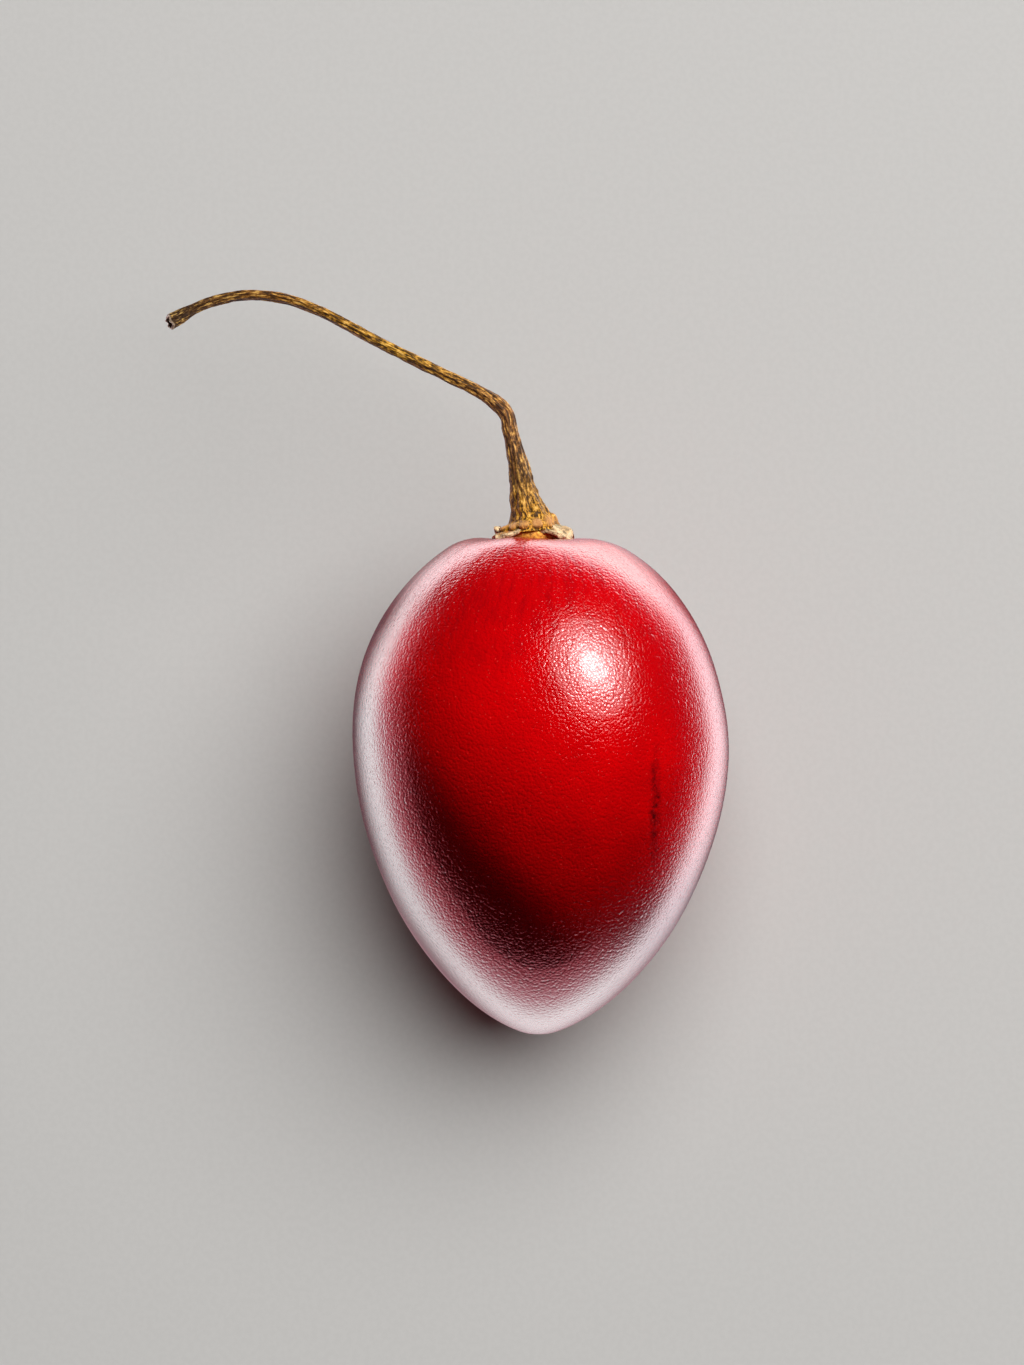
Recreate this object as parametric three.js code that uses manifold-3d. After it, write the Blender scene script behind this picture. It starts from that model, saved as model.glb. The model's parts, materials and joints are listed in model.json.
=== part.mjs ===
// A tamarillo, or tree tomato, as picked: an egg-shaped fruit lying on its side, with the corky pad,
// the five dried calyx lobes and the bent stem that grew on its crown.
//
// Units are millimetres and +Z is up. The fruit rests on the plane z = 0 on a small flat spot, whose
// centre is the origin. The stem end points along +Y and the pointed tip along -Y.
//
// Every piece is modelled in the fruit's own frame: +Y runs along the fruit's axis from the tip to the
// stem, y = 0 is the widest section, and +Z is the side that ends up on top. One group then lays the
// fruit down, tipped a little towards its pointed end, as an egg-shaped fruit settles.
import * as THREE from "three";
import { mergeVertices } from "three/addons/utils/BufferGeometryUtils.js";
import Module from "manifold-3d";

// Fruit
const FRUIT_RADIUS = 25.1; // at the widest section
const TIP_LENGTH = 39.4; // from the widest section to the point
const TIP_POWER = 1.9; // how late the sides start to close towards the tip
const TIP_FULLNESS = 0.635; // 0.5 is a round end, more is a pointed one
const SHOULDER_REACH = 28.9; // where the shoulders' ellipse would close if the crown were not flat
const CROWN_HEIGHT = 26.9; // from the widest section to the flat crown
const CROWN_ROUNDING = 1.6; // how softly the shoulders turn into the crown
const DIMPLE_DEPTH = 1.1; // of the shallow dimple that holds the calyx
const DIMPLE_RADIUS = 5.5;
const CROWN_LEAN = -0.6; // sideways drift of the crown's centre
const TIP_LEAN = -0.4; // sideways drift of the tip
const SIDE_LEAN = -0.35; // sideways drift of the body under the shoulders
const SIDE_LEAN_HEIGHT = 12; // where it drifts most, from the widest section
const SIDE_LEAN_REACH = 9;
const SHOULDER_RIBS = 5; // soft ribs that run out from the calyx
const RIB_HEIGHT = 0.12;
const RIB_RADIUS = 8.5; // distance from the stem at which the ribs are highest
const REST_TILT = THREE.MathUtils.degToRad(9); // the tip lies this much lower than the stem end
const FLAT_DEPTH = 0.35; // how much of the roundness the resting place has lost

// Corky pad between the fruit and the calyx
const STEM_OFFSET = -1.3; // sideways place of the stem's foot, the calyx and the pad
const TOUCH_GAP = 0.3; // clearance between pieces that touch
const PAD_RADIUS = 3.0;
const PAD_BOTTOM = 26.4;
const PAD_TOP = 27.9;
const PAD_EDGE = 0.6; // radius of the pad's rounded rim

// Stem
const STEM_RADIUS = 0.68; // of the thin arm
const FLARE_RADIUS = 2.35; // what the long taper adds at the foot
const FLARE_LENGTH = 7;
const FOOT_RADIUS = 0.8; // what the short foot adds under that
const FOOT_LENGTH = 1.5;
const KNEE_RADIUS = 0.14; // swelling at the bend
const KNEE_DISTANCE = 17.6; // along the stem, from its foot
const KNEE_LENGTH = 2.2;
const END_RADIUS = 0.3; // swelling of the end that broke away from the twig
const END_LENGTH = 2.6;
// Centreline, from the foot over the knee to the broken end.
const STEM_ROUTE = [
  [STEM_OFFSET, PAD_TOP + TOUCH_GAP, 0],
  [STEM_OFFSET - 0.05, 29.2, 0],
  [-1.9, 31.0, 0.1],
  [-2.7, 34.6, 0.2],
  [-3.5, 38.5, 0.3],
  [-4.25, 41.6, 0.3],
  [-4.65, 43.4, 0.25],
  [-6.5, 45.3, 0.1],
  [-8.6, 46.6, 0],
  [-13.2, 48.9, -0.5],
  [-21.2, 52.9, -1.6],
  [-29.2, 57.2, -2.8],
  [-34.5, 59.15, -3.3],
  [-39.9, 59.6, -3.5],
  [-45.2, 58.35, -3.4],
  [-49.8, 55.9, -3.0],
].map((point) => new THREE.Vector3(...point));

// Calyx lobes, each a dried flap that starts under the stem's foot and lies over the crown.
const LOBE_ROOT_RADIUS = 3.4; // distance of a lobe's root from the stem's foot
const LOBE_ROOT_HEIGHT = 27.45; // middle of the root's thickness
const LOBE_THICKNESS = 0.62;
const LOBE_TIP_SHARE = 0.45; // width of a lobe's end as a share of its root
const LOBES = [
  { turn: -6, reach: 2.4, halfWidth: 1.75, curl: 0.7 },
  { turn: 66, reach: 1.6, halfWidth: 1.65, curl: 0.35 },
  { turn: 138, reach: 1.9, halfWidth: 1.55, curl: 0.5 },
  { turn: 205, reach: 1.8, halfWidth: 1.5, curl: 0.8 },
  { turn: 280, reach: 1.8, halfWidth: 1.7, curl: 0.45 },
];

// Mesh steps
const PROFILE_STEPS = 40;
const ROUND_STEPS = 48;
const STEM_STEPS = 64;
const STEM_SIDES = 12;
const LOBE_STEPS = 8;

const SKIN = { color: 0xb3060f, roughness: 0.3, metalness: 0 };
const BARK = { color: 0x8a6a35, roughness: 0.8, metalness: 0 };
const CALYX = { color: 0xc2a569, roughness: 0.85, metalness: 0 };
const CORK = { color: 0xc9852b, roughness: 0.85, metalness: 0 };

const wasm = await Module();
wasm.setup();

// A closed geometry as a manifold-3d solid.
function toSolid(geometry) {
  const bare = geometry.clone();
  bare.deleteAttribute("normal");
  bare.deleteAttribute("uv");
  const { attributes, index } = mergeVertices(bare, 1e-4);
  return new wasm.Manifold(
    new wasm.Mesh({ numProp: 3, vertProperties: attributes.position.array, triVerts: index.array }),
  );
}

// A manifold-3d solid as a geometry.
function toGeometry(solid) {
  const { vertProperties, triVerts } = solid.getMesh();
  const geometry = new THREE.BufferGeometry();
  geometry.setAttribute("position", new THREE.BufferAttribute(vertProperties, 3));
  geometry.setIndex(new THREE.BufferAttribute(triVerts, 1));
  geometry.computeVertexNormals();
  return geometry;
}

// Moves every vertex of a geometry to where place(point) puts it.
function reshape(geometry, place) {
  const positions = geometry.getAttribute("position");
  const point = new THREE.Vector3();
  for (let i = 0; i < positions.count; i++) {
    place(point.fromBufferAttribute(positions, i));
    positions.setXYZ(i, point.x, point.y, point.z);
  }
  geometry.computeVertexNormals();
  return geometry;
}

function named(name, geometry, finish) {
  const mesh = new THREE.Mesh(geometry, new THREE.MeshStandardMaterial(finish));
  mesh.name = name;
  return mesh;
}

// The lower of two heights, with the corner between them rounded.
function softMin(a, b, rounding) {
  const share = THREE.MathUtils.clamp(0.5 + (b - a) / (2 * rounding), 0, 1);
  return THREE.MathUtils.lerp(b, a, share) - rounding * share * (1 - share);
}

// Height of the crown's surface over the widest section, at a distance from the axis.
function crownHeight(radius) {
  const shoulder = SHOULDER_REACH * Math.sqrt(Math.max(0, 1 - (radius / FRUIT_RADIUS) ** 2));
  const crown = CROWN_HEIGHT - DIMPLE_DEPTH * Math.exp(-((radius / DIMPLE_RADIUS) ** 2));
  return softMin(shoulder, crown, CROWN_ROUNDING);
}

// A point of the fruit's outline, as (distance from the axis, height), for an angle from -90 degrees
// at the tip over 0 at the widest section to +90 at the middle of the crown.
function outlinePoint(angle) {
  if (angle < 0) {
    const depth = Math.sin(-angle);
    const closing = Math.max(0, 1 - depth ** TIP_POWER);
    return new THREE.Vector2(FRUIT_RADIUS * closing ** TIP_FULLNESS, -TIP_LENGTH * depth);
  }
  const radius = Math.max(0, FRUIT_RADIUS * Math.cos(angle));
  return new THREE.Vector2(radius, crownHeight(radius));
}

function fruitOutline() {
  const points = [];
  for (let i = 0; i <= PROFILE_STEPS; i++) {
    points.push(outlinePoint(Math.PI * (i / PROFILE_STEPS - 0.5)));
  }
  points[0].x = 0;
  points[PROFILE_STEPS].x = 0;
  return points;
}

// What keeps the fruit from being a turned body: its ribbed shoulders and its leaning ends.
function growUnevenly(point) {
  const distance = Math.hypot(point.x, point.z);
  const towardsCrown = Math.max(0, point.y / CROWN_HEIGHT);
  const towardsTip = Math.max(0, -point.y / TIP_LENGTH);
  const ribs = (distance / RIB_RADIUS) ** 2 * Math.exp(1 - (distance / RIB_RADIUS) ** 2);
  if (point.y > 0) {
    const turn = Math.atan2(point.z, point.x);
    point.y -= RIB_HEIGHT * ribs * Math.cos(SHOULDER_RIBS * turn);
  }
  const fromSide = (point.y - SIDE_LEAN_HEIGHT) / SIDE_LEAN_REACH;
  point.x += CROWN_LEAN * towardsCrown ** 2 + TIP_LEAN * towardsTip ** 6;
  point.x += SIDE_LEAN * Math.exp(-(fromSide ** 2));
}

// Where the tipped fruit's outline comes lowest, as (distance from the axis, height along it).
function lowestOutlinePoint() {
  let lowest = null;
  let least = Infinity;
  for (let angle = -Math.PI / 2; angle < Math.PI / 2; angle += 0.001) {
    const point = outlinePoint(angle);
    const height = point.y * Math.sin(REST_TILT) - point.x * Math.cos(REST_TILT);
    if (height < least) {
      least = height;
      lowest = point;
    }
  }
  return lowest;
}

// The group that lays the fruit on the plane z = 0 with its resting place at the origin.
function layDown() {
  const group = new THREE.Group();
  const foot = lowestOutlinePoint();
  group.rotation.x = REST_TILT;
  group.updateMatrix();
  group.position.copy(new THREE.Vector3(0, foot.y, -foot.x).applyMatrix4(group.matrix).negate());
  group.position.z -= FLAT_DEPTH;
  group.updateMatrixWorld(true);
  return group;
}

// The fruit, with the flat spot that a ground block cuts off its underside.
function makeFruit(lying) {
  const skin = reshape(new THREE.LatheGeometry(fruitOutline(), ROUND_STEPS), growUnevenly);
  const ground = new THREE.BoxGeometry(60, 60, 10).translate(0, 0, -5);
  ground.applyMatrix4(lying.matrixWorld.clone().invert());
  const whole = toSolid(skin);
  return named("fruit", toGeometry(whole.subtract(toSolid(ground))), SKIN);
}

function makePad() {
  const middle = (PAD_TOP + PAD_BOTTOM) / 2;
  const rim = new THREE.Path();
  rim.moveTo(0, PAD_BOTTOM);
  rim.lineTo(PAD_RADIUS - PAD_EDGE, PAD_BOTTOM);
  rim.quadraticCurveTo(PAD_RADIUS, PAD_BOTTOM, PAD_RADIUS, middle);
  rim.quadraticCurveTo(PAD_RADIUS, PAD_TOP, PAD_RADIUS - PAD_EDGE, PAD_TOP);
  rim.lineTo(0, PAD_TOP);
  const pad = named("corky_pad", new THREE.LatheGeometry(rim.getPoints(4), 24), CORK);
  pad.position.x = STEM_OFFSET;
  return pad;
}

// Radius of the stem at a distance from its foot.
function stemRadius(distance, length) {
  const flare = FLARE_RADIUS * Math.exp(-distance / FLARE_LENGTH);
  const foot = FOOT_RADIUS * Math.exp(-distance / FOOT_LENGTH);
  const knee = KNEE_RADIUS * Math.exp(-(((distance - KNEE_DISTANCE) / KNEE_LENGTH) ** 2));
  const end = END_RADIUS * Math.exp(-(((length - distance) / END_LENGTH) ** 2));
  return STEM_RADIUS + flare + foot + knee + end;
}

// A cylinder bent along the centreline, each ring as wide as the stem is there.
function makeStem() {
  const centreline = new THREE.CatmullRomCurve3(STEM_ROUTE, false, "centripetal");
  const length = centreline.getLength();
  const { normals, binormals } = centreline.computeFrenetFrames(STEM_STEPS);
  const rod = new THREE.CylinderGeometry(1, 1, 1, STEM_SIDES, STEM_STEPS);
  const bent = reshape(rod, (point) => {
    const along = point.y + 0.5;
    const ring = Math.round(along * STEM_STEPS);
    const radius = stemRadius(along * length, length);
    const sideways = normals[ring].clone().multiplyScalar(-point.x * radius);
    const upwards = binormals[ring].clone().multiplyScalar(point.z * radius);
    point.copy(centreline.getPointAt(along)).add(sideways).add(upwards);
  });
  return named("stem", bent, BARK);
}

// One calyx lobe: a thin plate, narrower at its end, that curls up from the crown.
function makeLobe({ turn, reach, halfWidth, curl }, number) {
  const plate = new THREE.BoxGeometry(1, 1, 1, LOBE_STEPS, 1, LOBE_STEPS);
  reshape(plate, (point) => {
    const along = point.x + 0.5;
    const across = 2 * point.z;
    const width = halfWidth * THREE.MathUtils.lerp(1, LOBE_TIP_SHARE, along ** 2);
    const roundedReach = reach * along * (1 - 0.25 * across ** 2);
    point.set(
      LOBE_ROOT_RADIUS + roundedReach,
      LOBE_ROOT_HEIGHT + LOBE_THICKNESS * point.y + curl * along ** 2,
      width * across,
    );
  });
  const lobe = named(`calyx_lobe_${number}`, plate, CALYX);
  lobe.rotation.y = -THREE.MathUtils.degToRad(turn);
  lobe.position.x = STEM_OFFSET;
  return lobe;
}

const tamarillo = layDown();
tamarillo.add(makeFruit(tamarillo), makePad(), makeStem());
LOBES.forEach((lobe, index) => tamarillo.add(makeLobe(lobe, index + 1)));

export default tamarillo;
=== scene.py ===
"""A ripe red tamarillo as picked, lying on its side on a pale floor.

The fruit, the corky pad, the stem and the five calyx lobes are each modelled in the fruit's own frame,
in millimetres: +Y runs along the fruit's axis from the tip to the stem, y = 0 is the widest section and
+Z is the side that lies uppermost. The resting frame then lays them down where the CAD frame has them.
"""

import json
import logging
import math
from abc import ABC, abstractmethod
from collections.abc import Callable
from dataclasses import dataclass
from enum import Enum

import bmesh
import bpy
from mathutils import Matrix, Vector, geometry, noise


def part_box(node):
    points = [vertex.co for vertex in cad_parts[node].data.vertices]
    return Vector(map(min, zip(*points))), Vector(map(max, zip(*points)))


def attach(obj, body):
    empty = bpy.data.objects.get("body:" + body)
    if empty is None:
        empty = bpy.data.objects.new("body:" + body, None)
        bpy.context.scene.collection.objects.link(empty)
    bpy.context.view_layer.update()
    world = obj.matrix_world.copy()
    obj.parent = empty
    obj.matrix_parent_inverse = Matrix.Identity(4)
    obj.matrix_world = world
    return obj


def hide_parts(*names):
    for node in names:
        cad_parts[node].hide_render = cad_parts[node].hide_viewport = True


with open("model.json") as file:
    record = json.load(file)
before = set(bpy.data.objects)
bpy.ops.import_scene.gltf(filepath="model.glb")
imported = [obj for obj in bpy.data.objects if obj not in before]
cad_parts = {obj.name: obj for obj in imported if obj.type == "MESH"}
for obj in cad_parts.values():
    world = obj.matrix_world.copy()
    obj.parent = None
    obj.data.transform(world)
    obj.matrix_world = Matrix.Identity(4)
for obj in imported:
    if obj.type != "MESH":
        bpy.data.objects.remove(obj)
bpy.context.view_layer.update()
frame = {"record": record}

MM = 0.001
LOG = logging.getLogger("tamarillo")

Colour = tuple[float, float, float, float]
Place = Callable[[Vector], Vector]

# Sockets of the Mix node when it mixes colours.
FACTOR, UNDER, OVER, MIXED = 0, 6, 7, 2

# Without a seed of its own the vector noise that roughens the calyx would differ from run to run.
NOISE_SEED = 4


class Slot(Enum):
    """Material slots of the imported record."""

    SKIN = "skin"
    CORK = "cork"
    BARK = "bark"
    CALYX = "calyx"


# ---------------------------------------------------------------------------------------------------
# Small helpers
# ---------------------------------------------------------------------------------------------------


def linear(code: str) -> Colour:
    """Turns an sRGB hex colour into a linear one.

    Args:
        code: Six hex digits after a hash sign.

    Returns:
        Red, green, blue and an alpha of 1.
    """
    shares = [int(code[i : i + 2], 16) / 255 for i in (1, 3, 5)]
    straight = [s / 12.92 if s <= 0.04045 else ((s + 0.055) / 1.055) ** 2.4 for s in shares]
    return (*straight, 1.0)


def add_node(
    tree: bpy.types.NodeTree,
    kind: str,
    inputs: dict | None = None,
    stops: list[tuple[float, str | float]] | None = None,
    **settings: object,
) -> bpy.types.Node:
    """Adds a shader node with its settings and its links.

    Args:
        tree: The node tree that gets the node.
        kind: The node's type name.
        inputs: What each input gets: a value, or another node's output to link.
        stops: Positions and hex colours, or linear greys, of a colour ramp.
        settings: Properties of the node.

    Returns:
        The new node.
    """
    made = tree.nodes.new(kind)
    for name, value in settings.items():
        setattr(made, name, value)
    for name, value in (inputs or {}).items():
        if isinstance(value, bpy.types.NodeSocket):
            tree.links.new(value, made.inputs[name])
        else:
            made.inputs[name].default_value = value
    for number, (position, tone) in enumerate(stops or []):
        elements = made.color_ramp.elements
        stop = elements[number] if number < 2 else elements.new(position)
        stop.position = position
        stop.color = linear(tone) if isinstance(tone, str) else (tone, tone, tone, 1.0)
    return made


def bell(value: float, centre: float, width: float) -> float:
    """Returns a smooth bump: 1 at the centre, 0.37 one width away from it."""
    return math.exp(-(((value - centre) / width) ** 2))


def smooth_step(value: float, start: float, end: float) -> float:
    """Returns 0 before start, 1 after end and a smooth rise between them."""
    share = min(1.0, max(0.0, (value - start) / (end - start)))
    return share * share * (3 - 2 * share)


def soft_min(first: float, second: float, rounding: float) -> float:
    """Finds the lower of two heights, with the corner between them rounded.

    Args:
        first: One height.
        second: The other height.
        rounding: How far the rounding reaches, in the heights' unit.

    Returns:
        The rounded lower height.
    """
    share = min(1.0, max(0.0, 0.5 + (second - first) / (2 * rounding)))
    return second + (first - second) * share - rounding * share * (1 - share)


def deselect_all() -> None:
    """Deselects every object."""
    for piece in bpy.context.selected_objects:
        piece.select_set(False)


def name_new(name: str) -> bpy.types.Object:
    """Names the object that an operator has just added, and its mesh."""
    piece = bpy.context.object
    piece.name = name
    piece.data.name = name
    return piece


def select_faces(chosen: Callable[[bmesh.types.BMFace], bool]) -> None:
    """Selects the faces of the mesh in edit mode that a test picks, and deselects the others."""
    mesh = bpy.context.object.data
    cage = bmesh.from_edit_mesh(mesh)
    cage.faces.ensure_lookup_table()
    cage.select_mode = {"FACE"}
    picked = [face for face in cage.faces if chosen(face)]
    for face in cage.faces:
        face.select_set(False)
    for face in picked:
        face.select_set(True)
    cage.select_flush_mode()
    bmesh.update_edit_mesh(mesh)


def move_vertices(piece: bpy.types.Object, place: Place) -> None:
    """Puts each vertex of a mesh where place says."""
    for vertex in piece.data.vertices:
        vertex.co = place(vertex.co)
    piece.data.update()


def apply_modifier(piece: bpy.types.Object, kind: str, **settings: object) -> None:
    """Adds a modifier to a mesh and applies it.

    Args:
        piece: The mesh object.
        kind: The modifier's type.
        settings: Properties of the modifier.
    """
    modifier = piece.modifiers.new(kind.title(), kind)
    for name, value in settings.items():
        setattr(modifier, name, value)
    bpy.context.view_layer.objects.active = piece
    bpy.ops.object.modifier_apply(modifier=modifier.name)


def hand_over(
    piece: bpy.types.Object, node: str, material: bpy.types.Material
) -> bpy.types.Object:
    """Gives a finished piece its material and its place in the frame.

    Args:
        piece: The mesh object.
        node: The CAD node that it stands for.
        material: The material that it wears.

    Returns:
        The same piece.
    """
    piece.data.materials.clear()
    piece.data.materials.append(material)
    piece.data.shade_smooth()
    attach(piece, "root")
    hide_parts(node)
    LOG.info("%s: %d faces", piece.name, len(piece.data.polygons))
    return piece


# ---------------------------------------------------------------------------------------------------
# Finishes
# ---------------------------------------------------------------------------------------------------


class Finish(ABC):
    """A surface finish that makes its own node material."""

    name: str

    @abstractmethod
    def dress(self, tree: bpy.types.NodeTree, shader: bpy.types.Node) -> None:
        """Sets the shader up and adds the patterns that feed it."""

    def material(self) -> bpy.types.Material:
        """Makes the material.

        Returns:
            A node material with one Principled shader.
        """
        made = bpy.data.materials.new(self.name)
        made.use_nodes = True
        tree = made.node_tree
        tree.nodes.clear()
        shader = add_node(tree, "ShaderNodeBsdfPrincipled")
        add_node(tree, "ShaderNodeOutputMaterial", {"Surface": shader.outputs["BSDF"]})
        self.dress(tree, shader)
        return made


@dataclass(frozen=True)
class WaxySkin(Finish):
    """Ripe tamarillo skin: deep red tissue under a thin smooth layer of plant wax.

    The wax gives the eye a clear gloss and a pale bloom at grazing angles. The cells under it break the
    gloss into a fine sparkle. They are finer on a real fruit and are drawn as coarse as they need to show.
    The skin is a darker red towards the tip; the darker red over the crown and the right side and over the
    lower left side is painted shade.
    """

    resting: Matrix  # from the fruit's own frame, in millimetres, to the scene
    name: str = "waxy_tamarillo_skin"
    red: str = "#d00105"
    bright_red: str = "#da0306"
    crimson: str = "#bb0105"
    tip_red: str = "#900107"
    # painted shade: the darker red over the crown and the right side, where the light falls off
    crown_painted_shade: str = "#a00105"
    # painted shade: the darker red over the lower left side, where the light falls away
    lower_left_painted_shade: str = "#6c0006"
    streak: str = "#6a0208"
    scar: str = "#4a0408"
    pore: str = "#ff5448"
    cell_size: float = 0.37  # mm
    grain_height: float = 0.04  # mm
    cloud_size: float = 14.0  # mm
    tip_reach: tuple[float, float] = (-10.0, -34.0)  # mm along the axis, where it starts and is full
    crown_lean: float = 0.6  # how much the right side counts as crown for the painted shade
    crown_shade_reach: tuple[float, float] = (3.0, 20.0)  # mm
    crown_shade_amount: float = 0.9
    lower_left_shade_lean: float = 1.2  # how much the painted shade on the lower left side leans from the tip to the left
    lower_left_shade_reach: tuple[float, float] = (-16.0, -27.0)  # mm
    lower_left_shade_amount: float = 0.8
    streak_reach: tuple[float, float] = (2.0, 20.0)  # mm along the axis
    streaks_round: float = 26.0  # how fine they are round the axis
    streaks_along: float = 0.3  # per mm, how fine they are along it
    pore_spacing: float = 0.85  # mm
    scar_middle: tuple[float, float, float] = (14.6, -8.0, 18.5)  # mm
    scar_reach: tuple[float, float, float] = (1.0, 10.5, 9.0)  # mm
    scar_wobble: float = 1.4  # mm, from side to side

    def dress(self, tree: bpy.types.NodeTree, shader: bpy.types.Node) -> None:
        """Sets the shader up and adds the patterns that feed it."""
        coords = add_node(tree, "ShaderNodeTexCoord")
        own = add_node(
            tree,
            "ShaderNodeMapping",
            {
                "Vector": coords.outputs["Object"],
                "Location": self.resting.to_translation(),
                "Rotation": self.resting.to_euler(),
                "Scale": self.resting.to_scale(),
            },
            vector_type="TEXTURE",
        ).outputs["Vector"]
        colour = self.reds_and_painted_shade(tree, own)
        colour = self.streaks(tree, own, colour)
        colour = self.scarred(tree, own, colour)
        colour = self.pores(tree, own, colour)
        tree.links.new(colour, shader.inputs["Base Color"])
        tree.links.new(self.grain(tree, own), shader.inputs["Normal"])
        shader.inputs["Roughness"].default_value = 0.12
        shader.inputs["IOR"].default_value = 1.45
        shader.inputs["Coat Weight"].default_value = 0.35
        shader.inputs["Coat Roughness"].default_value = 0.09
        shader.inputs["Subsurface Weight"].default_value = 0.06
        shader.inputs["Subsurface Radius"].default_value = (1.0, 0.12, 0.08)
        shader.inputs["Subsurface Scale"].default_value = 2.5 * MM

    def reds_and_painted_shade(self, tree: bpy.types.NodeTree, own: bpy.types.NodeSocket) -> bpy.types.NodeSocket:
        """Mixes the reds of the skin in soft clouds, darker at the tip, with painted shade over the crown
        and the right side and over the lower left side.

        Args:
            tree: The material's node tree.
            own: Coordinates in the fruit's own frame, in millimetres.

        Returns:
            The colour.
        """
        clouds = add_node(
            tree,
            "ShaderNodeTexNoise",
            {"Vector": own, "Scale": 1 / self.cloud_size, "Detail": 3.0, "Roughness": 0.55},
        )
        reds = add_node(
            tree,
            "ShaderNodeValToRGB",
            {"Fac": clouds.outputs["Fac"]},
            stops=[(0.32, self.crimson), (0.68, self.bright_red), (0.5, self.red)],
        )
        place = add_node(tree, "ShaderNodeSeparateXYZ", {"Vector": own}).outputs
        right = add_node(tree, "ShaderNodeMath", {0: place["X"], 1: 0.0}, operation="MAXIMUM")
        up_and_right = add_node(
            tree,
            "ShaderNodeMath",
            {0: right.outputs[0], 1: self.crown_lean, 2: place["Y"]},
            operation="MULTIPLY_ADD",
        )
        down_and_left = add_node(
            tree,
            "ShaderNodeMath",
            {0: place["X"], 1: self.lower_left_shade_lean, 2: place["Y"]},
            operation="MULTIPLY_ADD",
        )
        colour = reds.outputs["Color"]
        # The tip gets a darker red; the crown and right side and the lower left side get painted shade.
        for way, (start, full), amount, tone in (
            (place["Y"], self.tip_reach, 1.0, self.tip_red),
            (up_and_right.outputs[0], self.crown_shade_reach, self.crown_shade_amount, self.crown_painted_shade),
            (down_and_left.outputs[0], self.lower_left_shade_reach, self.lower_left_shade_amount, self.lower_left_painted_shade),
        ):
            there = add_node(
                tree,
                "ShaderNodeMapRange",
                {"Value": way, "From Min": start, "From Max": full, "To Max": amount},
                interpolation_type="SMOOTHSTEP",
            )
            colour = add_node(
                tree,
                "ShaderNodeMix",
                {FACTOR: there.outputs[0], UNDER: colour, OVER: linear(tone)},
                data_type="RGBA",
            ).outputs[MIXED]
        return colour

    def streaks(
        self, tree: bpy.types.NodeTree, own: bpy.types.NodeSocket, colour: bpy.types.NodeSocket
    ) -> bpy.types.NodeSocket:
        """Darkens short marks that run down from the crown.

        Args:
            tree: The material's node tree.
            own: Coordinates in the fruit's own frame, in millimetres.
            colour: The colour under the marks.

        Returns:
            The colour with the marks.
        """
        across = add_node(
            tree, "ShaderNodeVectorMath", {0: own, 1: (1.0, 0.0, 1.0)}, operation="MULTIPLY"
        )
        round_axis = add_node(
            tree, "ShaderNodeVectorMath", {0: across.outputs[0]}, operation="NORMALIZE"
        )
        along = add_node(
            tree, "ShaderNodeVectorMath", {0: own, 1: (0.0, self.streaks_along, 0.0)}, operation="MULTIPLY"
        )
        finest = (self.streaks_round, 0.0, self.streaks_round)
        fibres = add_node(
            tree,
            "ShaderNodeVectorMath",
            {0: round_axis.outputs[0], 1: finest, 2: along.outputs[0]},
            operation="MULTIPLY_ADD",
        )
        marks = add_node(
            tree,
            "ShaderNodeTexNoise",
            {"Vector": fibres.outputs[0], "Scale": 1.0, "Detail": 4.0, "Roughness": 0.6},
        )
        height = add_node(tree, "ShaderNodeSeparateXYZ", {"Vector": own})
        start, full = self.streak_reach
        near_crown = add_node(
            tree,
            "ShaderNodeMapRange",
            {"Value": height.outputs["Y"], "From Min": start, "From Max": full},
            interpolation_type="SMOOTHSTEP",
        )
        marked = add_node(
            tree,
            "ShaderNodeMapRange",
            {"Value": marks.outputs["Fac"], "From Min": 0.46, "From Max": 0.74, "To Max": 0.5},
        )
        amount = add_node(
            tree,
            "ShaderNodeMath",
            {0: marked.outputs[0], 1: near_crown.outputs[0]},
            operation="MULTIPLY",
        )
        return add_node(
            tree,
            "ShaderNodeMix",
            {FACTOR: amount.outputs[0], UNDER: colour, OVER: linear(self.streak)},
            data_type="RGBA",
        ).outputs[MIXED]

    def scarred(
        self, tree: bpy.types.NodeTree, own: bpy.types.NodeSocket, colour: bpy.types.NodeSocket
    ) -> bpy.types.NodeSocket:
        """Darkens the long thin scar on the fruit's side.

        Args:
            tree: The material's node tree.
            own: Coordinates in the fruit's own frame, in millimetres.
            colour: The colour under the scar.

        Returns:
            The colour with the scar.
        """
        wobble = add_node(
            tree,
            "ShaderNodeTexNoise",
            {"Vector": own, "Scale": 0.35, "Detail": 4.0, "Roughness": 0.7},
        )
        shift = add_node(
            tree,
            "ShaderNodeVectorMath",
            {0: wobble.outputs["Color"], 1: (self.scar_wobble, 0.0, 0.0), 2: own},
            operation="MULTIPLY_ADD",
        )
        placed = add_node(
            tree,
            "ShaderNodeMapping",
            {
                "Vector": shift.outputs[0],
                "Location": Vector(self.scar_middle) + Vector((self.scar_wobble / 2, 0.0, 0.0)),
                "Scale": self.scar_reach,
            },
            vector_type="TEXTURE",
        )
        distance = add_node(
            tree, "ShaderNodeVectorMath", {0: placed.outputs[0]}, operation="LENGTH"
        )
        inside = add_node(
            tree,
            "ShaderNodeMapRange",
            {"Value": distance.outputs["Value"], "From Min": 1.1, "From Max": 0.1, "To Max": 1.0},
            interpolation_type="SMOOTHSTEP",
        )
        flecks = add_node(
            tree,
            "ShaderNodeTexNoise",
            {"Vector": own, "Scale": 1.3, "Detail": 5.0, "Roughness": 0.75},
        )
        broken = add_node(
            tree,
            "ShaderNodeMapRange",
            {"Value": flecks.outputs["Fac"], "From Min": 0.36, "From Max": 0.6, "To Max": 0.95},
        )
        amount = add_node(
            tree,
            "ShaderNodeMath",
            {0: inside.outputs[0], 1: broken.outputs[0]},
            operation="MULTIPLY",
        )
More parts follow.
